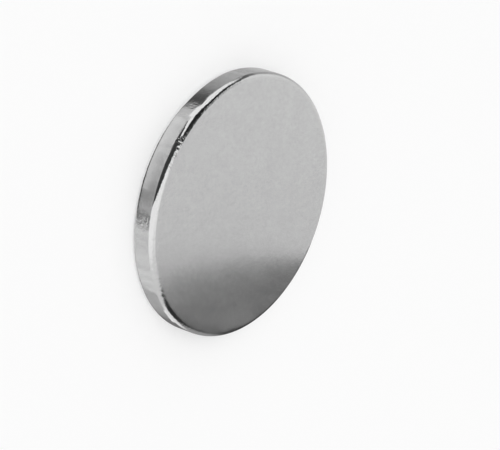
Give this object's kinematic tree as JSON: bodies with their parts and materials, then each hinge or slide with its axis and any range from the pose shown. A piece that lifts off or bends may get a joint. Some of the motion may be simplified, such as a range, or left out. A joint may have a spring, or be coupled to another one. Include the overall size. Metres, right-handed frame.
{
  "type": "disc magnet",
  "caption": "Flat round permanent magnet, bright nickel plated, with round corners, that holds to steel by either pole face or sits in a round pocket.",
  "frame": {"origin": "centre of the back pole face, on the surface that the disc lies on", "axes": "+Z along the disc's axis, from the back pole face to the front pole face; X and Y lie in the pole faces"},
  "size_m": [0.02, 0.02, 0.002],
  "materials": {
    "nickel_plate": "bright nickel plating: pole faces fine satin, rim and round corners near mirror"
  },
  "bodies": {
    "root": {"magnet_disc": "nickel_plate"}
  },
  "joints": []
}
